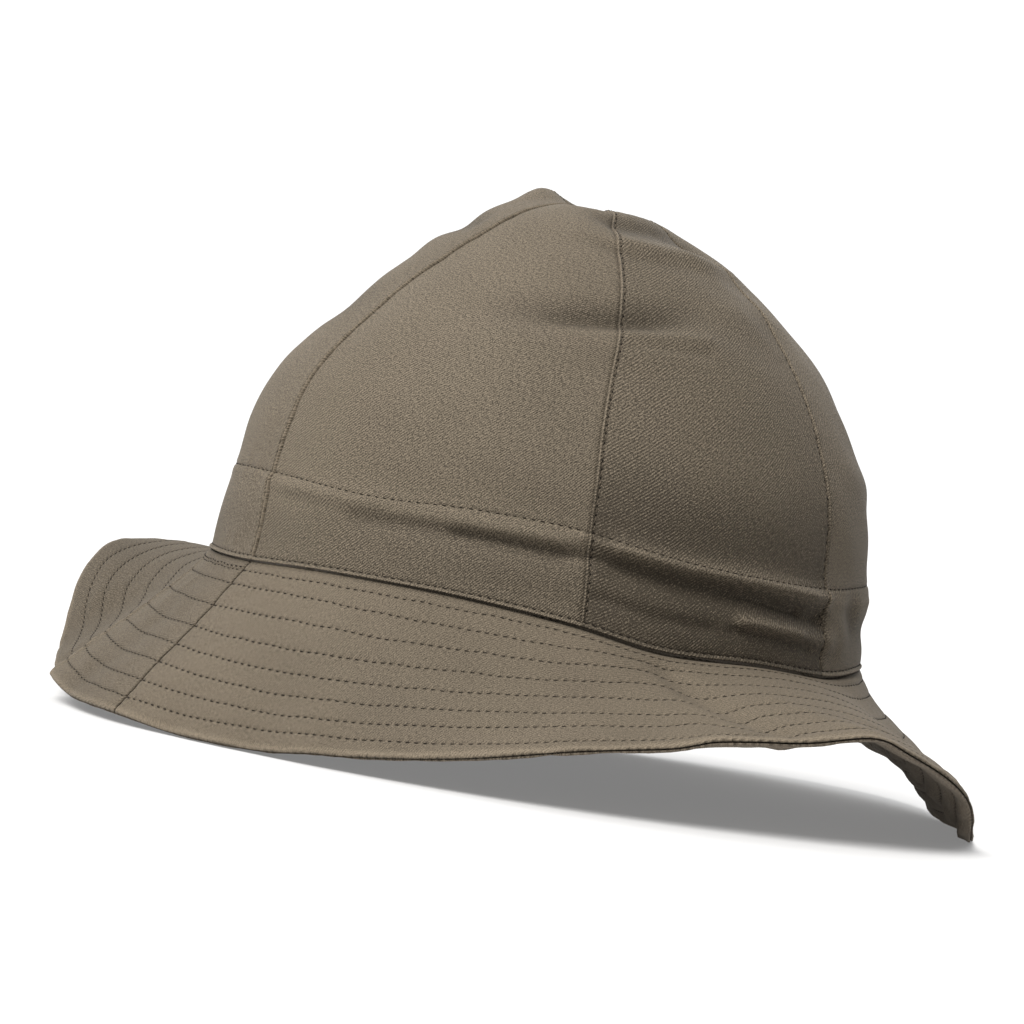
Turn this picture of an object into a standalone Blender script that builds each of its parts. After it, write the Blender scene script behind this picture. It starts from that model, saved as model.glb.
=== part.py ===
"""A soft sun hat: a six-panel crown on a wide brim of two cloth layers, lying on its brim.

The hat is worked out in its own rim frame, whose plane is the head opening: X from the front (-X) to the
back (+X), Y from the near side (-Y) to the far side (+Y), and Z up the crown. Azimuths are in degrees round
the opening, 0 at the near side, 90 at the back, 180 at the far side and 270 at the front. The finished hat
is then tipped onto the surface that it lies on, which is z = 0.
"""

import bmesh
import bpy
import numpy as np
from mathutils import Vector

# Driving sizes, in metres
RIM_HALF_LENGTH = 0.101  # head opening, from its middle to the crown's outer face at the front and back
RIM_HALF_WIDTH = 0.084  # the same at the sides
CROWN_HEIGHT = 0.1225  # from the rim to the top of the dome
BRIM_WIDTH = 0.0615  # along the cloth, from the crown's inner face to the hem
CROWN_CLOTH = 0.0012  # crown wall
BRIM_TOP_CLOTH = 0.0011
BRIM_UNDER_CLOTH = 0.0011
HEM_LIP_HEIGHT = 0.0022  # the crown's turned lower edge
HEM_LIP_OUT = 0.0009
SEAM_SINK = 0.0013  # how far a seam lies under the middle of its panels
SEAM_GAP = 0.0003  # between neighbouring pieces
APEX_RADIUS = 0.0009  # where the six panels' points stop short of each other
REST_FLAT = 0.0009  # how far the hem is pressed flat where it carries the hat

# Shares along the cloth
HEM_FADE = 0.03  # of the crown's cloth, over which its folds and puffs grow from the hem
APEX_START = 0.95  # of the crown's cloth, from where APEX_RADIUS is looked for
PUFF_POWER = 0.6  # how full a panel stays towards its seams: less is fuller

# How finely each piece is divided
PANEL_COLUMNS = 8
PANEL_ROWS = 17
BRIM_COLUMNS = 40
BRIM_ROWS = 5

# Crown sections from the rim to the top. Shares: along the crown's cloth, up of CROWN_HEIGHT,
# front and back of RIM_HALF_LENGTH, side of RIM_HALF_WIDTH.
CROWN_SECTIONS = [
    # along, up, front, back, side
    (0.00, 0.000, 1.000, 1.000, 1.000),
    (0.08, 0.114, 0.990, 0.990, 1.000),
    (0.15, 0.215, 0.975, 0.968, 0.985),
    (0.24, 0.343, 0.950, 0.948, 0.972),
    (0.33, 0.467, 0.900, 0.900, 0.935),
    (0.42, 0.590, 0.803, 0.818, 0.865),
    (0.51, 0.700, 0.685, 0.718, 0.770),
    (0.60, 0.795, 0.575, 0.586, 0.655),
    (0.68, 0.870, 0.495, 0.468, 0.550),
    (0.75, 0.930, 0.410, 0.350, 0.450),
    (0.82, 0.975, 0.310, 0.226, 0.340),
    (0.89, 1.000, 0.205, 0.130, 0.220),
    (0.95, 1.000, 0.130, 0.035, 0.110),
    (1.00, 0.988, 0.080, -0.080, 0.000),
]

# The rim's rise above its plane, as a share of RIM_HALF_LENGTH. It fades out up the crown.
RIM_WAVE = [
    # azimuth, rise
    (-90, 0.000),
    (-60, 0.004),
    (-35, 0.030),
    (-8, 0.036),
    (8, 0.018),
    (20, -0.010),
    (40, -0.006),
    (63, -0.015),
    (75, 0.000),
    (90, 0.010),
    (120, 0.000),
    (180, 0.012),
    (225, 0.000),
]
RIM_WAVE_REACH = 0.4  # share of the crown's cloth over which the rise fades

# Azimuths of the six crown seams at shares along the crown's cloth
CROWN_SEAMS = [
    # along, near front, near side, near back, far back, far side, far front
    (0.00, -56.5, 8.0, 58.5, 121.5, 174.0, 236.5),
    (0.15, -57.5, 7.0, 58.0, 122.0, 174.0, 237.0),
    (0.40, -59.0, 6.0, 57.5, 122.0, 175.0, 238.5),
    (0.55, -58.0, 6.5, 59.0, 121.0, 176.0, 238.5),
    (0.65, -53.0, 8.0, 63.0, 120.0, 177.0, 238.0),
    (0.75, -47.0, 10.0, 69.0, 120.0, 179.0, 240.0),
    (0.88, -43.0, 16.0, 74.0, 124.0, 184.0, 245.0),
    (1.00, -42.0, 20.0, 76.0, 128.0, 190.0, 250.0),
]

# Folds of the crown's cloth. Each runs straight on the cloth between two points (azimuth, share along).
# Shares of CROWN_HEIGHT: half width and height, which is negative for a hollow.
CROWN_FOLDS = [
    # from azimuth, from along, to azimuth, to along, half width, height
    (-64, 0.118, 2, 0.102, 0.026, -0.010),  # crease along the band, near front
    (-60, 0.148, 0, 0.140, 0.022, 0.006),  # the roll above it
    (14, 0.138, 58, 0.124, 0.026, 0.017),  # roll under the band's stitching, near back
    (14, 0.104, 56, 0.086, 0.026, -0.015),  # hollow under that roll
    (36, 0.064, 60, 0.056, 0.022, 0.009),
    (76, 0.105, 108, 0.100, 0.040, 0.014),  # the band bags at the back
    (126, 0.125, 168, 0.120, 0.030, 0.012),
    (126, 0.085, 170, 0.078, 0.030, -0.010),
    (184, 0.100, 232, 0.106, 0.028, -0.008),
    (14, 0.735, 72, 0.715, 0.036, 0.012),  # ridge across the top of the near back panel
    (18, 0.820, 66, 0.800, 0.062, -0.020),  # the flat that sinks behind it
    (-14, 0.555, 30, 0.590, 0.050, -0.010),  # soft diagonal hollow through the near side seam
    (-12, 0.490, 30, 0.520, 0.045, 0.006),
    (228, 0.845, 250, 0.880, 0.075, 0.042),  # the far front panel puffs up beside the top
    (264, 0.730, 292, 0.740, 0.050, -0.017),  # the hollow in front of that puff
    (-30, 0.920, 8, 0.930, 0.040, -0.010),
    (128, 0.600, 170, 0.540, 0.055, -0.010),
    (186, 0.480, 222, 0.560, 0.055, -0.009),
    (250, 0.430, 284, 0.480, 0.060, -0.007),
    (72, 0.330, 104, 0.300, 0.050, 0.007),
]

# Slope of the brim below the rim's plane, in degrees, at its root, its middle and its hem
BRIM_DROOP = [
    # azimuth, root, middle, hem
    (-90, 60, 44, 50),
    (-80, 58, 46, 50),
    (-70, 56, 50, 54),
    (-57, 56, 52, 54),
    (-45, 56, 56, 60),
    (-33, 54, 56, 58),
    (-20, 52, 50, 50),
    (-5, 48, 40, 34),
    (8, 40, 28, 18),
    (20, 30, 18, 10),
    (32, 20, 12, 8),
    (40, 16, 9, 6),
    (46, 14, 12, 14),
    (58, 24, 20, 28),
    (68, 44, 33, 44),
    (78, 60, 37, 54),
    (90, 66, 37, 56),
    (102, 60, 41, 48),
    (112, 48, 36, 34),
    (122, 39, 29, 25),
    (135, 32, 25, 21),
    (150, 38, 34, 30),
    (165, 50, 48, 46),
    (180, 58, 58, 50),
    (192, 60, 60, 50),
    (204, 50, 46, 40),
    (216, 26, 18, 14),
    (226, 14, 6, 4),
    (238, 20, 4, 2),
    (246, 34, 12, 6),
    (257, 50, 36, 32),
]

# Folds of the brim's cloth between two points (azimuth, share of BRIM_WIDTH out from the crown).
# Shares of BRIM_WIDTH: half width and height.
BRIM_FOLDS = [
    # from azimuth, from out, to azimuth, to out, half width, height
    (21, 0.15, 26, 0.90, 0.075, -0.030),  # valley through the near back
    (31, 0.40, 36, 0.95, 0.110, 0.016),  # the swell beside it
    (-30, 0.30, -24, 1.00, 0.160, 0.012),
    (-68, 0.45, -72, 1.00, 0.120, -0.012),
    (118, 0.30, 112, 1.00, 0.120, 0.014),
    (158, 0.30, 152, 1.00, 0.140, -0.016),
    (222, 0.20, 214, 1.00, 0.140, 0.018),
    (246, 0.30, 242, 1.00, 0.120, 0.006),
]

BRIM_SEAM_AZIMUTH = -57.0  # one of the brim's two seams; the other is opposite
REST_SECTORS = [(-100.0, 10.0), (55.0, 130.0), (150.0, 235.0)]  # azimuths between which the brim is carried

PANEL_NAMES = [
    "crown_panel_near_front",
    "crown_panel_near_back",
    "crown_panel_back",
    "crown_panel_far_back",
    "crown_panel_far_front",
    "crown_panel_front",
]

# Gauss-Legendre points and weights on -1..1, for the length of the brim's curved sections
SECTION_POINTS, SECTION_WEIGHTS = np.polynomial.legendre.leggauss(6)

PROBE_SHARE = 0.001  # of a degree and of the cloth, for the surface's slope in both directions


def read_column(rows, column, at, turn=None):
    """A table's column at the given places of its first column, joined by a smooth curve."""
    places = np.array([row[0] for row in rows], float)
    values = np.array([row[column] for row in rows], float)
    if turn:
        places = np.concatenate([places[-2:] - turn, places, places[:2] + turn])
        values = np.concatenate([values[-2:], values, values[:2]])
        at = np.mod(at - places[2], turn) + places[2]
    at = np.clip(at, places[0], places[-1])
    spans = np.diff(places)
    rises = np.diff(values) / spans
    slopes = np.empty_like(values)
    slopes[0] = rises[0]
    slopes[-1] = rises[-1]
    slopes[1:-1] = (rises[:-1] * spans[1:] + rises[1:] * spans[:-1]) / (spans[:-1] + spans[1:])
    low = np.clip(np.searchsorted(places, at, side="right") - 1, 0, len(spans) - 1)
    u = (at - places[low]) / spans[low]
    start = (1 + 2 * u) * (1 - u) ** 2 * values[low] + u * (1 - u) ** 2 * spans[low] * slopes[low]
    end = u * u * (3 - 2 * u) * values[low + 1] - u * u * (1 - u) * spans[low] * slopes[low + 1]
    return start + end


def rim_rise(azimuth):
    return read_column(RIM_WAVE, 1, azimuth, 360) * RIM_HALF_LENGTH


def fold_relief(folds, azimuth, out, radius, length, size):
    """Height of a table's folds at cloth points: radius turns azimuth into metres, length turns out."""
    relief = 0.0
    for from_azimuth, from_out, to_azimuth, to_out, half_width, height in folds:
        run_x = np.radians(to_azimuth - from_azimuth) * radius
        run_y = (to_out - from_out) * length
        half_turn = 180 - (to_azimuth - from_azimuth) / 2
        x = np.radians((azimuth - from_azimuth + half_turn) % 360 - half_turn) * radius
        y = (out - from_out) * length
        share = np.clip((x * run_x + y * run_y) / (run_x**2 + run_y**2), 0, 1)
        distance = np.hypot(x - share * run_x, y - share * run_y)
        relief = relief + height * size * np.exp(-((distance / (half_width * size)) ** 2))
    return relief


def seam_azimuths(along):
    """The six seams' azimuths at each share along the crown, and the first again a turn later."""
    seams = [read_column(CROWN_SEAMS, 1 + i, along) for i in range(len(PANEL_NAMES))]
    return seams + [seams[0] + 360]


def panel_puff(azimuth, along):
    """How far the cloth lies under its panels' fullest line: SEAM_SINK at a seam, nothing midway."""
    seams = seam_azimuths(along)
    azimuth = np.mod(azimuth - seams[0], 360) + seams[0]
    sink = np.zeros_like(azimuth)
    for left, right in zip(seams, seams[1:]):
        share = np.clip((azimuth - left) / (right - left), 0, 1)
        inside = (azimuth >= left) & (azimuth <= right)
        sink = np.where(inside, SEAM_SINK * (1 - (4 * share * (1 - share)) ** PUFF_POWER), sink)
    return sink


def unit(vectors):
    return vectors / np.linalg.norm(vectors, axis=-1, keepdims=True)


def crown_form(azimuth, along):
    """The crown's plain outer form, before its folds."""
    turn = np.radians(azimuth)
    front = read_column(CROWN_SECTIONS, 2, along) * RIM_HALF_LENGTH
    back = read_column(CROWN_SECTIONS, 3, along) * RIM_HALF_LENGTH
    side = read_column(CROWN_SECTIONS, 4, along) * RIM_HALF_WIDTH
    fade = np.clip(1 - along / RIM_WAVE_REACH, 0, 1) ** 2
    x = (back - front) / 2 + (back + front) / 2 * np.sin(turn)
    y = -side * np.cos(turn)
    z = read_column(CROWN_SECTIONS, 1, along) * CROWN_HEIGHT + rim_rise(azimuth) * fade
    return np.stack([x, y, z], -1)


def outward(form, azimuth, along):
    """Unit normals of a surface that is given by azimuth and a share along its cloth."""
    across = form(azimuth + PROBE_SHARE, along) - form(azimuth - PROBE_SHARE, along)
    upward = form(azimuth, along + PROBE_SHARE) - form(azimuth, along - PROBE_SHARE)
    return unit(np.cross(across, upward))


def crown_cloth_length():
    along = np.linspace(0, 1, 41)
    points = crown_form(np.full_like(along, 90.0), along)
    return float(np.linalg.norm(np.diff(points, axis=0), axis=1).sum())


def crown_face(azimuth, along, depth, lip=0.0):
    """Points of the crown at a depth under its outer face; lip pushes them out at the turned hem."""
    kept = np.clip(along, PROBE_SHARE, 1 - PROBE_SHARE)
    normal = outward(crown_form, azimuth, kept)
    half = read_column(CROWN_SECTIONS, 4, along) * RIM_HALF_WIDTH
    relief = fold_relief(CROWN_FOLDS, azimuth, along, half, crown_cloth_length(), CROWN_HEIGHT)
    fade = np.clip(along / HEM_FADE, 0, 1)
    height = relief * fade - panel_puff(azimuth, along) * fade - depth + lip
    points = crown_form(azimuth, along) + normal * height[..., None]
    at_rim = along <= 0
    points[..., 2] = np.where(at_rim, rim_rise(azimuth), points[..., 2])
    return points


def brim_slope(azimuth, out):
    root = read_column(BRIM_DROOP, 1, azimuth, 360)
    middle = read_column(BRIM_DROOP, 2, azimuth, 360)
    hem = read_column(BRIM_DROOP, 3, azimuth, 360)
    slope = root * (1 - out) * (1 - 2 * out) + middle * 4 * out * (1 - out) + hem * out * (2 * out - 1)
    return np.radians(slope)


def brim_form(azimuth, out):
    """The brim's middle surface between its two layers, before its folds."""
    turn = np.radians(azimuth)
    ahead = unit(np.stack([np.sin(turn) / RIM_HALF_LENGTH, -np.cos(turn) / RIM_HALF_WIDTH], -1))
    reach = 0.0
    drop = 0.0
    for point, weight in zip(SECTION_POINTS, SECTION_WEIGHTS):
        slope = brim_slope(azimuth, out * (point + 1) / 2)
        reach = reach + np.cos(slope) * weight / 2
        drop = drop + np.sin(slope) * weight / 2
    reach = reach * out * BRIM_WIDTH - CROWN_CLOTH
    x = RIM_HALF_LENGTH * np.sin(turn) + ahead[..., 0] * reach
    y = -RIM_HALF_WIDTH * np.cos(turn) + ahead[..., 1] * reach
    seat = SEAM_GAP + (SEAM_GAP / 2 + BRIM_TOP_CLOTH) * np.cos(brim_slope(azimuth, 0.0))
    z = rim_rise(azimuth) - seat - drop * out * BRIM_WIDTH
    return np.stack([x, y, z], -1)


def brim_face(azimuth, out, height):
    """Points of the brim at a height over the surface between its layers."""
    kept = np.clip(out, PROBE_SHARE, 1 - PROBE_SHARE)
    normal = outward(brim_form, azimuth, kept)
    normal = np.where(normal[..., 2:] < 0, -normal, normal)
    radius = (RIM_HALF_LENGTH + RIM_HALF_WIDTH) / 2 + out * BRIM_WIDTH
    relief = fold_relief(BRIM_FOLDS, azimuth, out, radius, BRIM_WIDTH, BRIM_WIDTH)
    relief = np.where(out > 0, relief, 0.0)
    return brim_form(azimuth, out) + normal * (relief + height)[..., None]


def brim_azimuths(half):
    """Column azimuths of one half of the brim, 0 the near half and 1 the far one."""
    return BRIM_SEAM_AZIMUTH + 180 * half + np.linspace(0, 180, BRIM_COLUMNS + 1)


def hem_corners():
    """The hem's lower and upper corners at every column of both halves."""
    azimuth = np.concatenate([brim_azimuths(0)[:-1], brim_azimuths(1)[:-1]])
    out = np.ones_like(azimuth)
    lower = brim_face(azimuth, out, -SEAM_GAP / 2 - BRIM_UNDER_CLOTH)
    upper = brim_face(azimuth, out, SEAM_GAP / 2 + BRIM_TOP_CLOTH)
    return azimuth, lower, upper


def resting_pose():
    """The matrix that tips the rim frame onto the hem's lowest point in each resting sector."""
    azimuth, lower, upper = hem_corners()
    up = np.array([0.0, 0.0, 1.0])
    for _ in range(6):
        feet = []
        for first, last in REST_SECTORS:
            inside = np.mod(azimuth - first, 360) <= last - first
            feet.append(min(lower[inside], key=lambda point: float(point @ up)))
        up = unit(np.cross(feet[1] - feet[0], feet[2] - feet[0]))
        up = up if up[2] > 0 else -up
    along_x = unit(np.array([1.0, 0.0, 0.0]) - up * up[0])
    along_y = np.cross(up, along_x)
    axes = np.stack([along_x, along_y, up])
    floor = float(feet[0] @ up) + REST_FLAT
    corners = np.concatenate([lower, upper]) @ axes.T
    middle = (corners.min(axis=0) + corners.max(axis=0)) / 2
    shift = -np.array([middle[0], middle[1], floor])
    pose = np.eye(4)
    pose[:3, :3] = axes
    pose[:3, 3] = shift
    return pose


def cloth_material(name, colour, roughness):
    material = bpy.data.materials.new(name)
    material.use_nodes = True
    shader = material.node_tree.nodes["Principled BSDF"]
    shader.inputs["Base Color"].default_value = (*colour, 1.0)
    shader.inputs["Roughness"].default_value = roughness
    shader.inputs["Metallic"].default_value = 0.0
    return material


def closed_sheet(name, outer, inner, pose, material):
    """One closed piece of cloth between two grids of points, placed by the resting pose."""
    rows, columns = outer.shape[:2]
    points = np.concatenate([outer.reshape(-1, 3), inner.reshape(-1, 3)])
    points = points @ pose[:3, :3].T + pose[:3, 3]
    below = rows * columns

    def corner(row, column):
        return row * columns + column

    faces = []
    for row in range(rows - 1):
        for column in range(columns - 1):
            square = [
                corner(row, column),
                corner(row, column + 1),
                corner(row + 1, column + 1),
                corner(row + 1, column),
            ]
            faces.append(square)
            faces.append([below + index for index in reversed(square)])
    around = [corner(0, column) for column in range(columns)]
    around += [corner(row, columns - 1) for row in range(1, rows)]
    around += [corner(rows - 1, column) for column in range(columns - 2, -1, -1)]
    around += [corner(row, 0) for row in range(rows - 2, 0, -1)]
    for first, second in zip(around, around[1:] + around[:1]):
        faces.append([second, first, below + first, below + second])
    mesh = bpy.data.meshes.new(name)
    mesh.from_pydata([tuple(point) for point in points], [], faces)
    mesh.materials.append(material)
    piece = bpy.data.objects.new(name, mesh)
    bpy.context.scene.collection.objects.link(piece)
    return piece


def press_flat(piece):
    """Cuts a piece level at the surface that it lies on, which leaves true flats under it."""
    work = bmesh.new()
    work.from_mesh(piece.data)
    bmesh.ops.recalc_face_normals(work, faces=work.faces)
    bmesh.ops.triangulate(work, faces=work.faces)
    cut = bmesh.ops.bisect_plane(
        work,
        geom=work.verts[:] + work.edges[:] + work.faces[:],
        dist=1e-6,
        plane_co=Vector((0, 0, 0)),
        plane_no=Vector((0, 0, -1)),
        clear_outer=True,
    )
    rim = [item for item in cut["geom_cut"] if isinstance(item, bmesh.types.BMEdge) and item.is_boundary]
    if rim:
        bmesh.ops.holes_fill(work, edges=rim)
    bmesh.ops.triangulate(work, faces=work.faces)
    work.to_mesh(piece.data)
    work.free()


def crown_rows():
    """Shares along the crown of a panel's rows: three for the turned hem, then even ones to the top."""
    cloth = crown_cloth_length()
    hem = [0.0, HEM_LIP_HEIGHT / cloth, (HEM_LIP_HEIGHT + HEM_LIP_OUT) / cloth]
    near_top = np.linspace(APEX_START, 1, 51)
    top_radius = read_column(CROWN_SECTIONS, 4, near_top) * RIM_HALF_WIDTH
    last = float(near_top[top_radius >= APEX_RADIUS][-1])
    return np.array(hem + list(np.linspace(hem[-1], last, PANEL_ROWS)[1:]))


def build_crown(pose, material):
    rows = crown_rows()
    seams = seam_azimuths(rows)
    half = read_column(CROWN_SECTIONS, 4, rows) * RIM_HALF_WIDTH
    back = np.degrees(SEAM_GAP / 2 / np.maximum(half, APEX_RADIUS))
    lip = np.where(np.arange(len(rows)) < 2, HEM_LIP_OUT, 0.0)
    shares = np.linspace(0, 1, PANEL_COLUMNS + 1)
    for index, name in enumerate(PANEL_NAMES):
        left = seams[index] + back
        right = seams[index + 1] - back
        azimuth = left[:, None] + (right - left)[:, None] * shares
        along = np.repeat(rows[:, None], len(shares), axis=1)
        outer = crown_face(azimuth, along, 0.0, lip[:, None])
        inner = crown_face(azimuth, along, CROWN_CLOTH)
        closed_sheet(name, outer, inner, pose, material)


def build_brim_layer(name, half, low, high, pose, material):
    """One layer of one half of the brim, between two heights over the surface between the layers."""
    azimuth = brim_azimuths(half)
    edge = np.degrees(SEAM_GAP / 2 / (RIM_HALF_WIDTH - CROWN_CLOTH))
    azimuth[0] += edge
    azimuth[-1] -= edge
    out = np.linspace(0, 1, BRIM_ROWS + 1)
    azimuth, out = np.meshgrid(azimuth, out)
    upper = brim_face(azimuth, out, np.full_like(out, high))
    lower = brim_face(azimuth, out, np.full_like(out, low))
    press_flat(closed_sheet(name, upper, lower, pose, material))


def main():
    for item in list(bpy.data.objects):
        bpy.data.objects.remove(item)
    crown_cloth = cloth_material("crown_twill", (0.205, 0.165, 0.125), 0.85)
    brim_cloth = cloth_material("brim_twill", (0.235, 0.190, 0.142), 0.88)
    under_cloth = cloth_material("brim_under_twill", (0.200, 0.162, 0.122), 0.90)
    pose = resting_pose()
    build_crown(pose, crown_cloth)
    half_gap = SEAM_GAP / 2
    for half, side in enumerate(("near", "far")):
        build_brim_layer(f"brim_top_{side}", half, half_gap, half_gap + BRIM_TOP_CLOTH, pose, brim_cloth)
        low = -half_gap - BRIM_UNDER_CLOTH
        build_brim_layer(f"brim_under_{side}", half, low, -half_gap, pose, under_cloth)


main()
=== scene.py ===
"""Looks of the sun hat: sewn cloth panels, brim layers, stitching and twill, on a plain floor in soft light.

The hat is worked out in its rim frame, whose plane is the head opening: X from the front (-X) to the back
(+X), Y from the near side (-Y) to the far side (+Y), and Z up the crown. Azimuths are in degrees round the
opening, 0 at the near side, 90 at the back, 180 at the far side and 270 at the front. Everything is then
tipped onto the surface that the hat lies on, z = 0. Lengths are in metres, and texture coordinates in
millimetres of cloth.
"""

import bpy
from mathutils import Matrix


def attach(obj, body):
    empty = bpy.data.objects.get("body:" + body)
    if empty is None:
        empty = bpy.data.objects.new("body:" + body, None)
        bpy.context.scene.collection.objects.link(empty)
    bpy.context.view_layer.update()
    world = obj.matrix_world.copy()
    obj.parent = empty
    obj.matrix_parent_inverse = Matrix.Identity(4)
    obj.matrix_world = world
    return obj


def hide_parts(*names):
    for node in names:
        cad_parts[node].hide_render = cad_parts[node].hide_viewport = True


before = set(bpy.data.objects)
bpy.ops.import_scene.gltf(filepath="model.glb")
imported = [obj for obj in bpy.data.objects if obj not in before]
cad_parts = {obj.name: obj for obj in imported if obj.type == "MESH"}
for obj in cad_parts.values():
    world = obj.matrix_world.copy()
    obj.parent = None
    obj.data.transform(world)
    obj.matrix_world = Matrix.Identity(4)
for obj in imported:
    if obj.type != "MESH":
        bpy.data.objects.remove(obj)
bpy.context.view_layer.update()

from types import SimpleNamespace

import bpy
import numpy as np
from mathutils import Matrix, Vector

MM = 0.001

# Sizes of the model, as in its source, in metres, and then its tables. Some folds by the band and in the
# brim lie a little differently here.
RIM_HALF_LENGTH = 0.101
RIM_HALF_WIDTH = 0.084
CROWN_HEIGHT = 0.1225
BRIM_WIDTH = 0.0615
CROWN_CLOTH = 0.0012
BRIM_TOP_CLOTH = 0.0011
BRIM_UNDER_CLOTH = 0.0011
SEAM_GAP = 0.0003
REST_FLAT = 0.0009
HEM_FADE = 0.03  # share of the crown over which its folds come in
BRIM_COLUMNS = 40  # of the source's brim halves, on which it rests

CROWN_SECTIONS = [
    # along, up, front, back, side
    (0, 0, 1, 1, 1),
    (0.08, 0.114, 0.99, 0.99, 1),
    (0.15, 0.215, 0.975, 0.968, 0.985),
    (0.24, 0.343, 0.95, 0.948, 0.972),
    (0.33, 0.467, 0.9, 0.9, 0.935),
    (0.42, 0.59, 0.803, 0.818, 0.865),
    (0.51, 0.7, 0.685, 0.718, 0.77),
    (0.6, 0.795, 0.575, 0.586, 0.655),
    (0.68, 0.87, 0.495, 0.468, 0.55),
    (0.75, 0.93, 0.41, 0.35, 0.45),
    (0.82, 0.975, 0.31, 0.226, 0.34),
    (0.89, 1, 0.205, 0.13, 0.22),
    (0.95, 1, 0.13, 0.035, 0.11),
    (1, 0.988, 0.08, -0.08, 0),
]

RIM_WAVE = [
    # azimuth, rise
    (-90, 0), (-60, 0.004), (-35, 0.03), (-8, 0.036), (8, 0.018), (20, -0.01), (40, -0.006),
    (63, -0.015), (75, 0), (90, 0.01), (120, 0), (180, 0.012), (225, 0),
]
RIM_WAVE_REACH = 0.4

CROWN_SEAMS = [
    # along, near front, near side, near back, far back, far side, far front
    (0, -56.5, 8, 58.5, 121.5, 174, 236.5),
    (0.15, -57.5, 7, 58, 122, 174, 237),
    (0.4, -59, 6, 57.5, 122, 175, 238.5),
    (0.55, -58, 6.5, 59, 121, 176, 238.5),
    (0.65, -53, 8, 63, 120, 177, 238),
    (0.75, -47, 10, 69, 120, 179, 240),
    (0.88, -43, 16, 74, 124, 184, 245),
    (1, -42, 20, 76, 128, 190, 250),
]

CROWN_FOLDS = [
    # from azimuth, from along, to azimuth, to along, half width, height
    (-34, 0.104, 2, 0.107, 0.024, -0.009),
    (-58, 0.136, 2, 0.137, 0.022, 0.006),
    (13, 0.141, 58, 0.123, 0.025, 0.017),
    (13, 0.109, 56, 0.09, 0.025, -0.015),
    (36, 0.064, 60, 0.056, 0.022, 0.009),
    (76, 0.105, 108, 0.1, 0.04, 0.014),
    (126, 0.125, 168, 0.12, 0.03, 0.012),
    (126, 0.085, 170, 0.078, 0.03, -0.01),
    (184, 0.1, 232, 0.106, 0.028, -0.008),
    (14, 0.735, 72, 0.715, 0.036, 0.012),
    (18, 0.82, 66, 0.8, 0.062, -0.02),
    (228, 0.845, 250, 0.88, 0.075, 0.042),
    # finer folds, that the source doesn't have
    (-52, 0.131, -31, 0.12, 0.015, 0.005),
    (-28, 0.12, 4, 0.134, 0.014, 0.007),
    (-15, 0.11, 4, 0.113, 0.012, -0.012),
    (6, 0.145, 33, 0.131, 0.013, 0.008),
    (36, 0.129, 54, 0.122, 0.012, 0.007),
    (6, 0.116, 29, 0.115, 0.013, -0.013),
    (31.5, 0.1125, 50, 0.095, 0.013, -0.012),
    (34, 0.048, 54, 0.04, 0.012, -0.006),
    (36, 0.067, 50, 0.061, 0.014, 0.008),
    (10, 0.052, 30, 0.046, 0.018, -0.007),
    (62, 0.118, 106, 0.116, 0.012, 0.003),
    (72, 0.07, 108, 0.062, 0.045, -0.01),
    (48, 0.6, 66, 0.61, 0.08, 0.012),
    (9, 0.512, 30, 0.53, 0.014, 0.004),
    (9, 0.49, 28, 0.5, 0.016, -0.007),
    (70, 0.104, 110, 0.1, 0.04, -0.01),
]

# Folds of the crown that fade out towards both ends, in the same columns
SOFT_FOLDS = [
    (-26, 0.5, 34, 0.59, 0.045, -0.013),
    (-22, 0.455, 36, 0.515, 0.045, 0.007),
    (-14, 0.508, 24, 0.56, 0.022, -0.013),
    (-12, 0.725, 50, 0.7, 0.03, -0.008),
    (252, 0.715, 304, 0.75, 0.06, -0.018),
    (-40, 0.915, 18, 0.935, 0.045, -0.011),
    (118, 0.615, 180, 0.525, 0.06, -0.012),
    (176, 0.46, 232, 0.575, 0.06, -0.011),
    (240, 0.415, 294, 0.495, 0.065, -0.009),
    (62, 0.34, 114, 0.29, 0.05, 0.008),
]

BRIM_DROOP = [
    # azimuth, root, middle, hem
    (-90, 60, 44, 50),
    (-80, 58, 46, 50),
    (-70, 56, 50, 54),
    (-57, 56, 52, 54),
    (-45, 56, 56, 60),
    (-33, 54, 56, 58),
    (-20, 52, 50, 50),
    (-5, 48, 40, 34),
    (8, 40, 28, 18),
    (20, 30, 18, 10),
    (32, 20, 12, 8),
    (40, 16, 9, 6),
    (46, 14, 12, 14),
    (58, 24, 20, 28),
    (68, 44, 33, 44),
    (78, 60, 37, 54),
    (90, 66, 37, 56),
    (102, 60, 41, 48),
    (112, 48, 36, 34),
    (122, 39, 29, 25),
    (135, 32, 25, 21),
    (150, 38, 34, 30),
    (165, 50, 48, 46),
    (180, 58, 58, 50),
    (192, 60, 60, 50),
    (204, 50, 46, 40),
    (216, 26, 18, 14),
    (226, 14, 6, 4),
    (238, 20, 4, 2),
    (246, 34, 12, 6),
    (257, 50, 36, 32),
]

BRIM_FOLDS = [
    # from azimuth, from out, to azimuth, to out, half width, height
    (22, 0.15, 30, 0.84, 0.075, -0.03),
    (33, 0.4, 41, 0.9, 0.11, 0.014),
    (-30, 0.3, -24, 1, 0.16, 0.012),
    (-68, 0.45, -72, 1, 0.12, -0.012),
    (118, 0.3, 112, 1, 0.12, 0.014),
    (158, 0.3, 152, 1, 0.14, -0.016),
    (222, 0.2, 214, 1, 0.14, 0.018),
    (246, 0.3, 242, 1, 0.12, 0.006),
]

BRIM_SEAM_AZIMUTH = -57.0
REST_SECTORS = [(-100.0, 10.0), (55.0, 130.0), (150.0, 235.0)]

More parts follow.
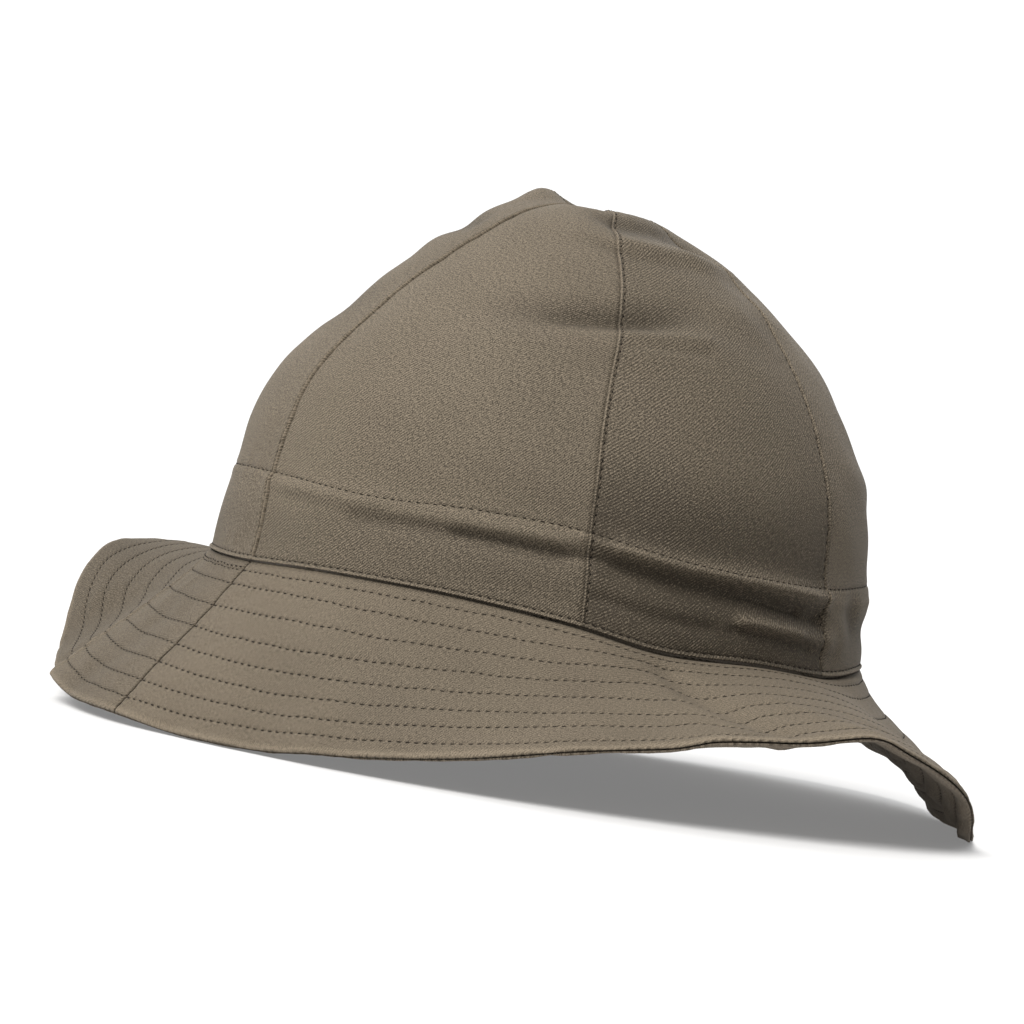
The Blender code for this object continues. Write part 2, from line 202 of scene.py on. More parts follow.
# The two shade columns are painted shade, darkest on the near back panel and low on the crown.
PANELS = [
    # name, left edge on top, painted shade over the panel, painted shade on its low part, its reach up (mm),
    # turn of the ribs upwards (per mm)
    ("near_front", False, 0.0, 0.65, 25, 0.0),
    ("near_back", True, 0.55, 1.7, 60, 0.0),
    ("back", False, 0.1, 0.4, 25, 0.002),
    ("far_back", False, 0.25, 0.4, 25, 0.0),
    ("far_front", True, 0.0, 0.3, 25, 0.002),
    ("front", True, 0.15, 0.4, 25, 0.001),
]

# Stitches, in metres
STITCH_PITCH = 0.0026
STITCH_LENGTH = 0.0017
STITCH_START = 0.0003  # of a row
THREAD_RADIUS = 0.00023
# The dark dent is painted shadow: a near-black piece laid between two stitches.
HOLE_LENGTH = 0.0008  # of the dark dent between two stitches of a crown seam

# A stitch's four rings: share of its length, millimetres aside, millimetres up and thickness
STITCH_SHARES = np.array([0.0, 0.28, 0.72, 1.0])
STITCH_SLANT = np.array([-0.10, -0.04, 0.04, 0.10])
STITCH_DIP = np.array([-0.22, 0.0, 0.0, -0.22])
STITCH_SWELL = np.array([0.6, 1.0, 1.0, 0.6])
THREAD_SIDES = 4

# Places of the sewing, in metres
LAP = 0.0004  # how far a panel's folded edge lies over its neighbour
SEAM_SINK = 0.0009  # of a panel towards its seams
SEAM_STITCH = 0.0013  # from a seam's folded edge to its stitches
SEAM_WIDTH = 0.0055  # of the folded cloth beside a seam
SEAM_RISE = 0.0003  # of that folded cloth
BAND_LINE = 0.027  # stitching that holds the band inside, up from the rim on the whole
BAND_REACH = 0.012  # of the grid that wanders with it
LIP_STITCH = 0.00135  # stitching over the turned lower edge
NARROW_PANEL = 0.030  # near the top, where the seams are finer
ALLOWANCE = 0.00045  # thickness of the cloth turned in at a seam
ALLOWANCE_WIDTH = 0.0062
INNER_BAND = 0.00055  # thickness of the band inside
CREST_AZIMUTH = -81.0  # where the brim folds sharply at the front
ROOT_FADE = 0.15  # share of the brim over which its folds come in

# Grid of a panel: columns beside its edges, in metres, the number between them, and rows in millimetres
PANEL_EDGE = np.array([0.0, 0.12, 0.26, 0.42, 0.6, 0.8, 1.0, 1.15, 1.3, 1.45, 1.65, 2.1, 3.2, 5.2, 8.0]) * MM
PANEL_MIDDLE = 56
HEM_ROWS = [0, 0.1, 0.22, 0.36, 0.5, 0.65, 0.82, 1.0, 1.18, 1.35, 1.52, 1.75, 2.1, 2.7, 3.7, 5.0]
LOW_ROWS = np.linspace(6.4, 24.2, 20)
BAND_ROWS = [25.0, 25.8, 26.3, 26.7, 27.0, 27.3, 27.7, 28.3, 29.2, 30.2]
FIRST_HIGH_ROW = 31.4
HIGH_ROWS = 114
TOP_SHARE = 0.9985  # of the cloth, where the panels end
APEX_SHARE = 0.995  # where its highest normals are taken
HALF_COLUMNS = 228  # of a half of the brim
ROW_ROOM = 0.008  # between rows that are closer, the lines close up
HEM_LINES = (-3.0, -2.3, -1.6, -1.0, -0.6, -0.3, -0.12, 0.0)  # millimetres out from the hem
BRIM_SEAM_OPEN = 0.00008  # half of the slit between the halves of the brim
TOP_SEAM_OPEN = 0.0002  # what is added to it in the upper layer
DOUBLED_LINE = 3  # grid line of a second row by the rim
DOUBLED_FROM = 265  # azimuth where it starts

# The crown's turned lower edge: distance up from the rim and how far it stands out, in millimetres
LIP_UP = [0.0, 0.1, 0.22, 0.36, 0.5, 0.65, 0.82, 1.0, 1.18, 1.35]
LIP_OUT = [0.30, 0.46, 0.54, 0.56, 0.53, 0.46, 0.34, 0.18, 0.05, 0.0]

# Rows of stitches round the brim: millimetres out from the crown's inner face. They wander as sewn rows do.
BRIM_ROWS = [
    # azimuth, rim row, then seven rows
    (-90, 3.8, 8.6, 17, 25.6, 33.6, 41.2, 48.6, 55.2),
    (-57, 3.8, 8.8, 17.2, 26, 33.6, 41, 48.3, 55),
    (-45, 4, 9.5, 17.8, 27, 34.6, 41.8, 48.3, 54.5),
    (-20, 4.4, 10.8, 18.9, 27.4, 35.3, 42.4, 49, 54.6),
    (-8, 4, 10.6, 18.2, 26.4, 34.2, 41.6, 48.2, 54.8),
    (5, 3.5, 9.8, 16.8, 24.7, 32.3, 40.3, 47.2, 55),
    (11, 3.4, 8, 14.2, 21.6, 30, 38.5, 45.8, 54.6),
    (17, 3.4, 6.9, 11.6, 18.8, 28, 37, 44.6, 54.2),
    (22.5, 3.4, 7, 11.8, 18.8, 27, 36, 43.2, 53.8),
    (26, 3.4, 8, 15, 22.8, 31.6, 39.3, 47.2, 53.8),
    (31, 3.4, 8.8, 16, 24, 31.4, 38.6, 46.4, 53.6),
    (40, 3.4, 9, 16.8, 24.8, 32.6, 40.4, 47.6, 54.4),
    (60, 3.6, 8.8, 17, 25.2, 33.2, 41.2, 48.6, 55.4),
    (120, 3.6, 8.6, 16.8, 25, 33, 41, 48.8, 55.8),
    (180, 3.6, 8.8, 17, 25.2, 33.2, 41.2, 49, 55.8),
    (230, 3.8, 8.6, 16.8, 25.2, 33.2, 41, 48.6, 55.4),
]

# The band's stitching wanders: millimetres up from the rim
BAND_WANDER = [
    # azimuth, up
    (-90, 27.6), (-56, 28.2), (-30, 26.2), (-12, 28.3), (6, 28.8), (17, 27.4), (26, 26.2),
    (38, 25.1), (54, 25.3), (75, 26.2), (120, 27), (180, 27.6), (235, 27.2),
]

# Finer folds of the brim, in the same columns as BRIM_FOLDS
BRIM_CREASES = [
    (-80.5, 0.06, -81.5, 1.1, 0.014, 0.01),
    (-88, 0.16, -89, 1.1, 0.09, -0.03),
    (252, 0.8, 241, 1.08, 0.13, 0.04),
    (216, 0.6, 200, 1.1, 0.17, -0.024),
    (22, 0.97, 28, 1.08, 0.13, 0.026),
    (80, 0.5, 92, 0.56, 0.25, 0.032),
]

# How much narrower than the source's the brim is cut, in millimetres
HEM_TRIM = [
    # azimuth, trim
    (-90, -0.6), (-78, -0.3), (-57, 0.9), (-39, 1), (-20, 1.5), (0, 1.8), (26, 2.5), (40, 1.2),
    (55, 0.3), (70, 0), (170, 0), (205, 0.9), (225, 0.3), (238, -1.2), (250, -1.7), (262, -1.5),
]

# Studio light: the key comes from the upper left, and the surround is dim on the near right
KEY_FROM = (-0.36, -0.57, 0.74)
KEY_POWER = 4.7
KEY_SPREAD = 36  # degrees
KEY_COLOUR = (1.0, 0.985, 0.965)
# The floor glows a little, a painted light that lightens the hat's shadow on it and the hat's undersides.
FLOOR_GLOW = 0.20
FLOOR_HALF = 30.0
FLOOR_DROP = 0.0001  # below the hat
SURROUND_LOW = 0.26
SURROUND_TOP = 1.15
SURROUND_BEHIND = 0.85
SURROUND_DIM = 0.10
DIM_SIDE = (0.74, -0.66, -0.10)

# The photo's camera, found from the crown and the head opening
CAMERA_ELEVATION = 3.3  # degrees over the plane of the opening
CAMERA_ROLL = (0.982, 0.187)  # cosine and sine of its turn about its own axis
CAMERA_DISTANCE = 1.0  # from the middle of the opening
FOCAL = 3257.0  # in pixels of the photo
PHOTO_SIZE = 1024
OPENING_AT = (535, 607)  # where the middle of the opening falls, in pixels from the left and the top
SENSOR_WIDTH = 36.0

# The cloth and the threads
RIB_PITCH = 0.74  # of the twill, in millimetres
CLOTHS = {
    # name: dark, light, strength of ribs (partly painted shade), flecks and puckers at the rows, roughness,
    # turn of the ribs
    "crown_twill": ((0.036, 0.0285, 0.0190), (0.180, 0.1470, 0.1060), 0.22, 1.65, 0.0, 0.82, -45),
    "brim_twill": ((0.036, 0.0285, 0.0190), (0.182, 0.1480, 0.1065), 0.11, 0.92, 1.2, 0.85, -40),
    "brim_under_twill": ((0.043, 0.034, 0.0235), (0.176, 0.144, 0.107), 0.13, 1.10, 1.2, 0.86, -40),
}
THREADS = {
    # name: dark, light
    # The sewing thread is near black: partly a dark thread, partly painted shade of the pits it lies in.
    "sewing_thread_and_pit_shade": ((0.005, 0.004, 0.003), (0.022, 0.017, 0.012)),
    "seam_thread": ((0.050, 0.040, 0.029), (0.150, 0.122, 0.090)),
    # Needle holes: near-black pieces between the stitches, a painted shadow of the dents.
    "needle_hole_shadows": ((0.003, 0.0025, 0.002), (0.009, 0.007, 0.005)),
}

# Painted shade on parts of the brim's upper cloth
BRIM_PAINTED_SHADE = [
    # azimuth, strength, half width, share out at which it is full (0: all the way)
    (240, 1.3, 28, 0.4),
    (-70, 0.95, 12, 0),
    (-96, 0.6, 12, 0),
    (-18, 0.4, 22, 0.5),
]

SECTION_POINTS, SECTION_WEIGHTS = np.polynomial.legendre.leggauss(6)
PROBE_SHARE = 0.001


def read_column(rows, column, at, turn=None):
    """A table's column at the given places of its first column, joined by a smooth curve."""
    places = np.array([row[0] for row in rows], float)
    values = np.array([row[column] for row in rows], float)
    if turn:
        places = np.concatenate([places[-2:] - turn, places, places[:2] + turn])
        values = np.concatenate([values[-2:], values, values[:2]])
        at = np.mod(at - places[2], turn) + places[2]
    at = np.clip(at, places[0], places[-1])
    spans = np.diff(places)
    rises = np.diff(values) / spans
    slopes = np.empty_like(values)
    slopes[0] = rises[0]
    slopes[-1] = rises[-1]
    slopes[1:-1] = (rises[:-1] * spans[1:] + rises[1:] * spans[:-1]) / (spans[:-1] + spans[1:])
    low = np.clip(np.searchsorted(places, at, side="right") - 1, 0, len(spans) - 1)
    u = (at - places[low]) / spans[low]
    start = (1 + 2 * u) * (1 - u) ** 2 * values[low] + u * (1 - u) ** 2 * spans[low] * slopes[low]
    end = u * u * (3 - 2 * u) * values[low + 1] - u * u * (1 - u) * spans[low] * slopes[low + 1]
    return start + end


def unit(vectors):
    return vectors / np.maximum(np.linalg.norm(vectors, axis=-1, keepdims=True), 1e-12)


def hump(distance, half_width):
    return np.exp(-((distance / half_width) ** 2))


def ridge(distance, height, half_width, at=0.0):
    """A rounded ridge along a line, or a groove where its height is negative: all three in millimetres."""
    return height * MM * hump(distance - at * MM, half_width * MM)


def line_mask(distance, strength, half_width):
    return strength * hump(distance, half_width * MM)


def smooth_step(at):
    at = np.clip(at, 0, 1)
    return at * at * (3 - 2 * at)


def turn_from(azimuth, middle):
    """Degrees from a middle azimuth, from -180 to 180."""
    return (azimuth - middle + 180) % 360 - 180


def cloth_noise(azimuth, rows, around, seed):
    """Smooth noise from -1 to 1 with a number of cells round the hat, which meets itself after a turn."""
    table = np.random.default_rng(seed).uniform(-1, 1, (97, around))
    across = np.mod(azimuth, 360) / 360 * around
    column = np.floor(across).astype(int)
    row = np.floor(rows).astype(int)
    u = smooth_step(across - column)
    v = smooth_step(rows - row)
    low = table[row % 97, column % around] * (1 - u) + table[row % 97, (column + 1) % around] * u
    row = row + 1
    high = table[row % 97, column % around] * (1 - u) + table[row % 97, (column + 1) % around] * u
    return low * (1 - v) + high * v


def uneven(height, cell, around, seed, azimuth, up):
    """Unevenness of the cloth: its height and the height of its cells are in millimetres."""
    return height * MM * cloth_noise(azimuth, up / (cell * MM), around, seed)


def rim_rise(azimuth):
    return read_column(RIM_WAVE, 1, azimuth, 360) * RIM_HALF_LENGTH


def fold_relief(folds, azimuth, out, radius, length, size, tapered=False):
    """Height of a table's folds at cloth points: radius turns azimuth into metres, length turns out."""
    relief = 0.0
    for from_azimuth, from_out, to_azimuth, to_out, half_width, height in folds:
        run_x = np.radians(to_azimuth - from_azimuth) * radius
        run_y = (to_out - from_out) * length
        half_turn = 180 - (to_azimuth - from_azimuth) / 2
        x = np.radians((azimuth - from_azimuth + half_turn) % 360 - half_turn) * radius
        y = (out - from_out) * length
        share = np.clip((x * run_x + y * run_y) / (run_x**2 + run_y**2), 0, 1)
        distance = np.hypot(x - share * run_x, y - share * run_y)
        strength = 1 - (2 * share - 1) ** 2 if tapered else 1.0
        relief = relief + strength * height * size * hump(distance, half_width * size)
    return relief


def crown_relief(azimuth, along, radius, length):
    """Height of all the crown's folds at cloth points."""
    sharp = fold_relief(CROWN_FOLDS, azimuth, along, radius, length, CROWN_HEIGHT)
    return sharp + fold_relief(SOFT_FOLDS, azimuth, along, radius, length, CROWN_HEIGHT, True)


def crown_form(azimuth, along):
    """The crown's plain outer form, before its folds."""
    turn = np.radians(azimuth)
    front, back = (read_column(CROWN_SECTIONS, column, along) * RIM_HALF_LENGTH for column in (2, 3))
    side = read_column(CROWN_SECTIONS, 4, along) * RIM_HALF_WIDTH
    fade = np.clip(1 - along / RIM_WAVE_REACH, 0, 1) ** 2
    x = (back - front) / 2 + (back + front) / 2 * np.sin(turn)
    y = -side * np.cos(turn)
    z = read_column(CROWN_SECTIONS, 1, along) * CROWN_HEIGHT + rim_rise(azimuth) * fade
    return np.stack([x, y, z], -1)


def outward(form, azimuth, along):
    """Unit normals of a surface that is given by azimuth and a share along its cloth."""
    across = form(azimuth + PROBE_SHARE, along) - form(azimuth - PROBE_SHARE, along)
    upward = form(azimuth, along + PROBE_SHARE) - form(azimuth, along - PROBE_SHARE)
    return unit(np.cross(across, upward))


def crown_cloth_length():
    along = np.linspace(0, 1, 41)
    points = crown_form(np.full_like(along, 90.0), along)
    return float(np.linalg.norm(np.diff(points, axis=0), axis=1).sum())


def crown_point(azimuth, along, height):
    """Points of the crown at a height over its plain form and folds."""
    kept = np.clip(along, PROBE_SHARE, APEX_SHARE)
    normal = outward(crown_form, azimuth, kept)
    half = read_column(CROWN_SECTIONS, 4, along) * RIM_HALF_WIDTH
    length = crown_cloth_length()
    relief = crown_relief(azimuth, along, half, length)
    relief = relief * np.clip(along / HEM_FADE, 0, 1)
    points = crown_form(azimuth, along) + normal * (relief + height)[..., None]
    points[..., 2] = np.where(along <= 0, rim_rise(azimuth), points[..., 2])
    return points


def brim_slope(azimuth, out):
    root, middle, hem = (read_column(BRIM_DROOP, column, azimuth, 360) for column in (1, 2, 3))
    slope = root * (1 - out) * (1 - 2 * out) + middle * 4 * out * (1 - out) + hem * out * (2 * out - 1)
    return np.radians(slope)


def brim_form(azimuth, out):
    """The brim's middle surface between its two layers, before its folds."""
    turn = np.radians(azimuth)
    ahead = unit(np.stack([np.sin(turn) / RIM_HALF_LENGTH, -np.cos(turn) / RIM_HALF_WIDTH], -1))
    reach = 0.0
    drop = 0.0
    for point, weight in zip(SECTION_POINTS, SECTION_WEIGHTS):
        slope = brim_slope(azimuth, out * (point + 1) / 2)
        reach = reach + np.cos(slope) * weight / 2
        drop = drop + np.sin(slope) * weight / 2
    reach = reach * out * BRIM_WIDTH - CROWN_CLOTH
    x = RIM_HALF_LENGTH * np.sin(turn) + ahead[..., 0] * reach
    y = -RIM_HALF_WIDTH * np.cos(turn) + ahead[..., 1] * reach
    seat = SEAM_GAP + (SEAM_GAP / 2 + BRIM_TOP_CLOTH) * np.cos(brim_slope(azimuth, 0.0))
    z = rim_rise(azimuth) - seat - drop * out * BRIM_WIDTH
    return np.stack([x, y, z], -1)


def brim_face(azimuth, out, height, creases=()):
    """Points of the brim at a height over the surface between its layers."""
    kept = np.clip(out, PROBE_SHARE, 1 - PROBE_SHARE)
    normal = outward(brim_form, azimuth, kept)
    normal = np.where(normal[..., 2:] < 0, -normal, normal)
    radius = (RIM_HALF_LENGTH + RIM_HALF_WIDTH) / 2 + out * BRIM_WIDTH
    relief = fold_relief(BRIM_FOLDS + list(creases), azimuth, out, radius, BRIM_WIDTH, BRIM_WIDTH)
    relief = relief * np.clip(out / ROOT_FADE, 0, 1)
    return brim_form(azimuth, out) + normal * (relief + height)[..., None]


def resting_pose():
    """The matrix that tips the rim frame onto the hem's lowest point in each resting sector."""
    halves = [BRIM_SEAM_AZIMUTH + 180 * half + np.linspace(0, 180, BRIM_COLUMNS + 1)[:-1] for half in (0, 1)]
    azimuth = np.concatenate(halves)
    out = np.ones_like(azimuth)
    lower = brim_face(azimuth, out, -SEAM_GAP / 2 - BRIM_UNDER_CLOTH)
    upper = brim_face(azimuth, out, SEAM_GAP / 2 + BRIM_TOP_CLOTH)
    up = np.array([0.0, 0.0, 1.0])
    for _ in range(6):
        feet = []
        for first, last in REST_SECTORS:
            inside = np.mod(azimuth - first, 360) <= last - first
            feet.append(min(lower[inside], key=lambda point: float(point @ up)))
        up = unit(np.cross(feet[1] - feet[0], feet[2] - feet[0]))
        up = up if up[2] > 0 else -up
    along_x = unit(np.array([1.0, 0.0, 0.0]) - up * up[0])
    along_y = np.cross(up, along_x)
    axes = np.stack([along_x, along_y, up])
    floor = float(feet[0] @ up) + REST_FLAT
    corners = np.concatenate([lower, upper]) @ axes.T
    middle = (corners.min(axis=0) + corners.max(axis=0)) / 2
    pose = np.eye(4)
    pose[:3, :3] = axes
    pose[:3, 3] = [-middle[0], -middle[1], -floor]
    return pose


POSE = resting_pose()


def place(points):
    """Rim frame to the frame of the model, kept on the surface that the hat lies on."""
    points = points @ POSE[:3, :3].T + POSE[:3, 3]
    points[..., 2] = np.maximum(points[..., 2], 0.0)
    return points


def grid_normals(points):
    across = np.gradient(points, axis=1)
    upward = np.gradient(points, axis=0)
    return unit(np.cross(across, upward))


def arc_lengths(points, axis):
    """Distance along a grid's rows or columns from their first point."""
    steps = np.linalg.norm(np.diff(points, axis=axis), axis=-1)
    zero = np.zeros_like(np.take(steps, [0], axis=axis))
    return np.cumsum(np.concatenate([zero, steps], axis=axis), axis=axis)


def add_piece(name, points, faces, material):
    """A smooth mesh object with one material."""
    mesh = bpy.data.meshes.new(name)
    mesh.from_pydata(points.reshape(-1, 3).tolist(), [], faces)
    mesh.polygons.foreach_set("use_smooth", np.ones(len(mesh.polygons), dtype=bool))
    mesh.materials.append(material)
    piece = bpy.data.objects.new(name, mesh)
    bpy.context.scene.collection.objects.link(piece)
    return piece


def closed_sheet(name, outer, inner, maps, masks, material):
    """A closed piece of cloth between two grids of points, with its texture maps and its masks: one of dark
    stitching and painted shade, one of wear and painted highlight.
    """
    rows, columns = outer.shape[:2]
    count = rows * columns
    corner = np.arange(count).reshape(rows, columns)
    front = np.stack([corner[:-1, :-1], corner[:-1, 1:], corner[1:, 1:], corner[1:, :-1]], -1).reshape(-1, 4)
    back = front[:, ::-1] + count
    around = np.concatenate([corner[0], corner[1:, -1], corner[-1, -2::-1], corner[-2:0:-1, 0]])
    following = np.roll(around, -1)
    edge = np.stack([following, around, around + count, following + count], -1)
    faces = np.concatenate([front, back, edge])
    piece = add_piece(name, np.concatenate([outer, inner]), faces.tolist(), material)
    mesh = piece.data
    corners = np.empty(len(mesh.loops), dtype=np.int32)
    mesh.loops.foreach_get("vertex_index", corners)
    for map_name, values in maps.items():
        flat = np.concatenate([values.reshape(-1, 2)] * 2)
        layer = mesh.uv_layers.new(name=map_name)
        layer.data.foreach_set("uv", flat[corners].astype(np.float32).ravel())
    for mask_name, (outer_values, inner_values) in masks.items():
        flat = np.concatenate([outer_values.ravel(), inner_values.ravel()])
        layer = mesh.attributes.new(mask_name, "FLOAT", "POINT")
        layer.data.foreach_set("value", flat.astype(np.float32))
    return piece


def thread(name, runs, material, start=STITCH_START, length=STITCH_LENGTH, lift=0.04 * MM, thick=1.0):
    """Stitches along runs of points with normals: each a short thread that dips in at both ends."""
    turn = np.arange(THREAD_SIDES) / THREAD_SIDES * 2 * np.pi
    centres = []
    tangents = []
    normals = []
    rng = np.random.default_rng(11)
    for path, normal in runs:
        travelled = arc_lengths(path[None], 1)[0]
        starts = np.arange(start, travelled[-1] - length, STITCH_PITCH)
        starts = starts + rng.uniform(-0.10, 0.10, len(starts)) * MM
        at = starts[:, None] + STITCH_SHARES * length * rng.uniform(0.88, 1.08, (len(starts), 1))
        spot = np.stack([np.interp(at, travelled, path[:, axis]) for axis in range(3)], -1)
        up = unit(np.stack([np.interp(at, travelled, normal[:, axis]) for axis in range(3)], -1))
        tangent = unit(spot[:, -1:] - spot[:, :1])
        slant = np.cross(tangent, up) * STITCH_SLANT[:, None] * MM
        centres.append(spot + slant + up * (lift + STITCH_DIP[:, None] * MM))
        tangents.append(np.broadcast_to(tangent, spot.shape))
        normals.append(up)
    centre = np.concatenate(centres)
    up = np.concatenate(normals)
    side = unit(np.cross(np.concatenate(tangents), up))
    ring = side[:, :, None] * np.cos(turn)[:, None] + up[:, :, None] * (0.8 * np.sin(turn))[:, None]
    points = centre[:, :, None] + ring * (STITCH_SWELL * thick * THREAD_RADIUS)[None, :, None, None]
    base = np.arange(len(points))[:, None] * len(STITCH_SHARES) * THREAD_SIDES
    first = np.arange(THREAD_SIDES)
    second = (first + 1) % THREAD_SIDES
    strip = np.stack([first, second, second + THREAD_SIDES, first + THREAD_SIDES], -1)
    quads = np.concatenate([strip + step * THREAD_SIDES for step in range(3)])
    faces = (base[:, :, None] + quads[None]).reshape(-1, 4).tolist()
    for cap in (first[::-1], first + 3 * THREAD_SIDES):
        faces += (base + cap[None]).tolist()
    return add_piece(name, points, faces, material)


def new_material(name):
    material = bpy.data.materials.new(name)
    material.use_nodes = True
    return material, Nodes(material.node_tree), material.node_tree.nodes["Principled BSDF"]


class Nodes:
    """A node tree with short calls for its maths."""

    def __init__(self, tree):
        self.tree = tree

    def add(self, kind, inputs=None, **settings):
        node = self.tree.nodes.new(kind)
        for key, value in settings.items():
            setattr(node, key, value)
        for key, value in (inputs or {}).items():
            self.feed(node.inputs[key], value)
        return node

    def feed(self, socket, value):
        if isinstance(value, bpy.types.NodeSocket):
            self.tree.links.new(value, socket)
        else:
            socket.default_value = value

    def math(self, operation, *values):
        node = self.add("ShaderNodeMath", operation=operation)
        for socket, value in zip(node.inputs, values):
            self.feed(socket, value)
        return node.outputs[0]

    def times(self, value, factor):
        return self.math("MULTIPLY", value, factor)

    def scaled(self, value, factor, base):
        return self.math("MULTIPLY_ADD", value, factor, base)

    def noise(self, vector, scale, detail=2.0):
        node = self.add("ShaderNodeTexNoise", {"Vector": vector, "Scale": scale, "Detail": detail})
        return node.outputs["Fac"]

    def stretched(self, vector, scale, turn=0.0):
        node = self.add("ShaderNodeMapping", {"Vector": vector, "Scale": scale, "Rotation": (0, 0, turn)})
        return node.outputs["Vector"]

    def fade(self, value, from_range, to_range):
        """A smooth change from one number to another while a value crosses a range."""
        node = self.add("ShaderNodeMapRange", {"Value": value}, interpolation_type="SMOOTHSTEP")
        for key, limit in zip(("From Min", "From Max", "To Min", "To Max"), (*from_range, *to_range)):
            node.inputs[key].default_value = limit
        return node.outputs["Result"]

    def mask(self, name):
        return self.add("ShaderNodeAttribute", attribute_name=name).outputs["Fac"]


def twill(name, dark, light, rib, fleck, rows, roughness, turn):
    """Cotton twill: diagonal ribs of broken yarns, soft colour clouds, dark stitch lines with painted shade,
    and worn edges with painted highlight.
    """
    material, tree, shader = new_material(name)
    cloth = tree.add("ShaderNodeUVMap", uv_map="cloth").outputs["UV"]
    turned = tree.stretched(cloth, (1, 1, 1), np.radians(turn))
    parts = tree.add("ShaderNodeSeparateXYZ", {"Vector": turned})
    sway = tree.noise(cloth, 0.09, 1.0)
    across = tree.math("ADD", parts.outputs["Y"], tree.times(sway, 0.9))
    wave = tree.math("SINE", tree.times(across, 2 * np.pi / RIB_PITCH))
    yarns = tree.noise(tree.stretched(turned, (0.9, 2.4, 1)), 1.0, 1.0)
    specks = tree.noise(cloth, 2.6, 0.0)
    patch = tree.noise(cloth, 0.05, 2.0)
    clouds = tree.noise(cloth, 0.022, 3.0)
    strength = tree.scaled(patch, 1.5, 0.05)
    broken = tree.scaled(yarns, 2.2, -0.1)
    strength = tree.times(strength, broken)
    # The ribs' crests are lighter and their valleys darker: partly the yarns' own tone, partly painted shade
    # of the weave.
    ribs = tree.times(tree.times(wave, strength), rib)
    grain = tree.scaled(tree.math("SUBTRACT", yarns, 0.5), fleck, 0.5)
    grain = tree.scaled(tree.math("SUBTRACT", specks, 0.5), fleck * 1.1, grain)
    grain = tree.math("ADD", grain, ribs)
    tone = tree.scaled(tree.math("SUBTRACT", clouds, 0.5), 0.22, grain)
    # This mask darkens the cloth: dark stitching and painted shade.
    tone = tree.scaled(tree.mask("stitching_and_painted_shade"), -0.20, tone)
    # This mask lightens it: wear and painted highlight.
    tone = tree.scaled(tree.mask("wear_and_highlight"), 0.38, tone)
    raised = tree.times(wave, strength)
    height = tree.scaled(raised, 0.55, tree.times(yarns, 0.5))
    height = tree.scaled(specks, 0.5, height)
    if rows:
        sewn = tree.add("ShaderNodeUVMap", uv_map="rows").outputs["UV"]
        place_in_rows = tree.add("ShaderNodeSeparateXYZ", {"Vector": sewn})
        stitches = tree.times(place_in_rows.outputs["X"], 2 * np.pi * MM / STITCH_PITCH)
        phase = tree.math("COSINE", stitches)
        from_row = tree.math("ADD", place_in_rows.outputs["Y"], 0.5)
        away = tree.math("ABSOLUTE", tree.math("SUBTRACT", tree.math("FRACT", from_row), 0.5))
        near = tree.math("POWER", 2.0, tree.times(away, -16.0))
        height = tree.scaled(tree.times(near, phase), rows, height)
        # Lighter where the puckers by the rows rise, darker between them: painted highlight and shade.
        tone = tree.scaled(tree.times(near, phase), 0.22, tone)
    colour = tree.add("ShaderNodeMix", {"Factor": tone}, data_type="RGBA")
    # With colours chosen, the mix node keeps several sockets of the same name: the last pair is the colours
    sockets = [socket for socket in colour.inputs if socket.type == "RGBA"]
    sockets[0].default_value = (*dark, 1.0)
    sockets[1].default_value = (*light, 1.0)
    result = [socket for socket in colour.outputs if socket.type == "RGBA"][0]
    tree.feed(shader.inputs["Base Color"], result)
    bump = tree.add("ShaderNodeBump", {"Height": height, "Strength": 0.55, "Distance": 0.00022})
    tree.feed(shader.inputs["Normal"], bump.outputs["Normal"])
    rough = tree.scaled(tree.math("SUBTRACT", yarns, 0.5), 0.12, roughness)
    tree.feed(shader.inputs["Roughness"], rough)
    shader.inputs["Specular IOR Level"].default_value = 0.25
    shader.inputs["Sheen Weight"].default_value = 0.05
    shader.inputs["Sheen Roughness"].default_value = 0.45
    shader.inputs["Sheen Tint"].default_value = (1.0, 0.93, 0.84, 1.0)
    return material


def thread_material(name, dark, light):
    material, tree, shader = new_material(name)
    where = tree.add("ShaderNodeTexCoord").outputs["Object"]
    ply = tree.noise(where, 2600.0, 2.0)
    ramp = tree.add("ShaderNodeValToRGB", {"Fac": ply})
    ramp.color_ramp.elements[0].position = 0.3
    ramp.color_ramp.elements[0].color = (*dark, 1)
    ramp.color_ramp.elements[1].position = 0.75
    ramp.color_ramp.elements[1].color = (*light, 1)
    tree.feed(shader.inputs["Base Color"], ramp.outputs["Color"])
    bump = tree.add("ShaderNodeBump", {"Height": ply, "Strength": 0.4, "Distance": 0.0001})
    tree.feed(shader.inputs["Normal"], bump.outputs["Normal"])
    shader.inputs["Roughness"].default_value = 0.8
    shader.inputs["Specular IOR Level"].default_value = 0.12
    return material


def crown_rows():
    """Distances up the crown's cloth: close together at the turned edge and at the band's stitching."""
    high = np.linspace(FIRST_HIGH_ROW, crown_cloth_length() / MM * TOP_SHARE, HIGH_ROWS)
    return np.concatenate([HEM_ROWS, LOW_ROWS, BAND_ROWS, high]) * MM


